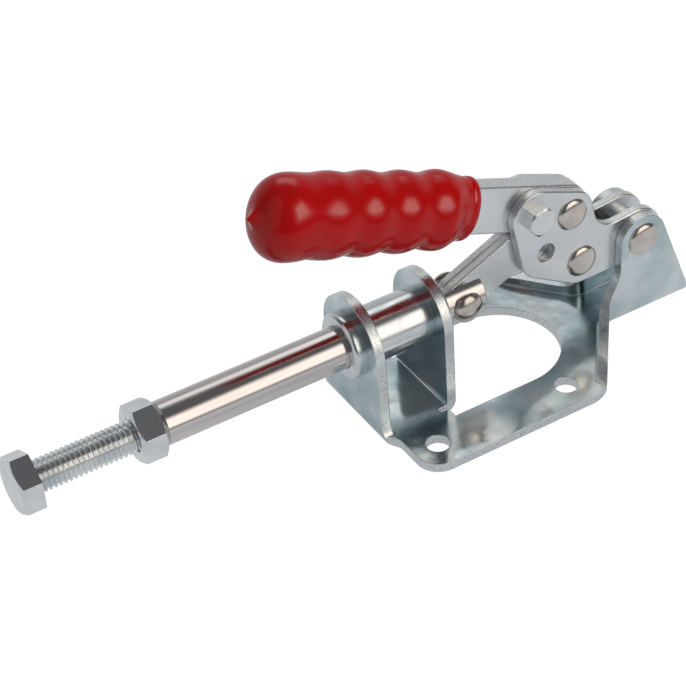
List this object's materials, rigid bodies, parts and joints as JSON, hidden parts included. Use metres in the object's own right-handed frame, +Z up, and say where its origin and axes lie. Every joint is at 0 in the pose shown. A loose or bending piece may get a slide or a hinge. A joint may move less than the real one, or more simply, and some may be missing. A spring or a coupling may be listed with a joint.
{
  "type": "push-pull toggle clamp",
  "caption": "Push-pull toggle clamp with a flanged sheet-steel base, sliding plunger, adjustable hexagon-head spindle bolt, riveted linkage and a dipped vinyl handle grip.",
  "frame": {"origin": "centre of the four mounting holes, on the underside of the base flange", "axes": "+X from the pressing tip along the plunger to the main pivot, +Y across the base to the side of the handle screw's nut, +Z up from the mounting surface"},
  "size_m": [0.1843, 0.0584, 0.0763],
  "materials": {
    "base_zinc": "bright zinc plate with a faint blue-green passivated tint",
    "tube_zinc": "bright zinc plate",
    "linkage_zinc": "satin zinc plate with rough sheared edges",
    "plunger_steel": "polished plated steel",
    "fastener_zinc": "bright zinc plate",
    "screw_zinc": "bright zinc plate",
    "rivet_steel": "bright plated steel, slightly warm",
    "grip_vinyl": "glossy dipped red vinyl"
  },
  "bodies": {
    "base": {"base_frame": "base_zinc", "guide_tube": "tube_zinc", "pivot_rivet": "rivet_steel"},
    "handle": {"rocker_near": "linkage_zinc", "rocker_far": "linkage_zinc", "pivot_bush": "linkage_zinc", "link_rivet": "rivet_steel", "handle_bar": "linkage_zinc", "handle_rivet": "rivet_steel", "handle_screw": "screw_zinc", "handle_screw_washer": "screw_zinc", "handle_screw_nut": "screw_zinc", "handle_grip": "grip_vinyl"},
    "link": {"link_near": "linkage_zinc", "link_far": "linkage_zinc"},
    "plunger": {"plunger": "plunger_steel", "lock_nut": "fastener_zinc", "plunger_rivet_near": "rivet_steel", "plunger_rivet_far": "rivet_steel"},
    "spindle": {"spindle_bolt": "fastener_zinc"}
  },
  "joints": [
    {"name": "handle_fold", "type": "hinge", "parent": "base", "child": "handle", "pos_m": [0.0528, 0, 0.0235], "axis": [0, 1, 0], "range_deg": [0, 143]},
    {"name": "link_fold", "type": "hinge", "parent": "handle", "child": "link", "pos_m": [0.03572, 0, 0.0226], "axis": [0, 1, 0], "range_deg": [-163.44, 0]},
    {"name": "plunger_slide", "type": "slide", "parent": "base", "child": "plunger", "axis": [1, 0, 0], "range_m": [0, 0.03201]},
    {"name": "spindle_screw", "type": "slide", "parent": "plunger", "child": "spindle", "axis": [1, 0, 0], "range_m": [-0.006, 0.024]}
  ],
  "couplings": [
    {"joint": "link_fold", "follows": "handle_fold", "ratio": -1.1426},
    {"joint": "plunger_slide", "follows": "handle_fold", "m_per_rad": 0.012816}
  ]
}
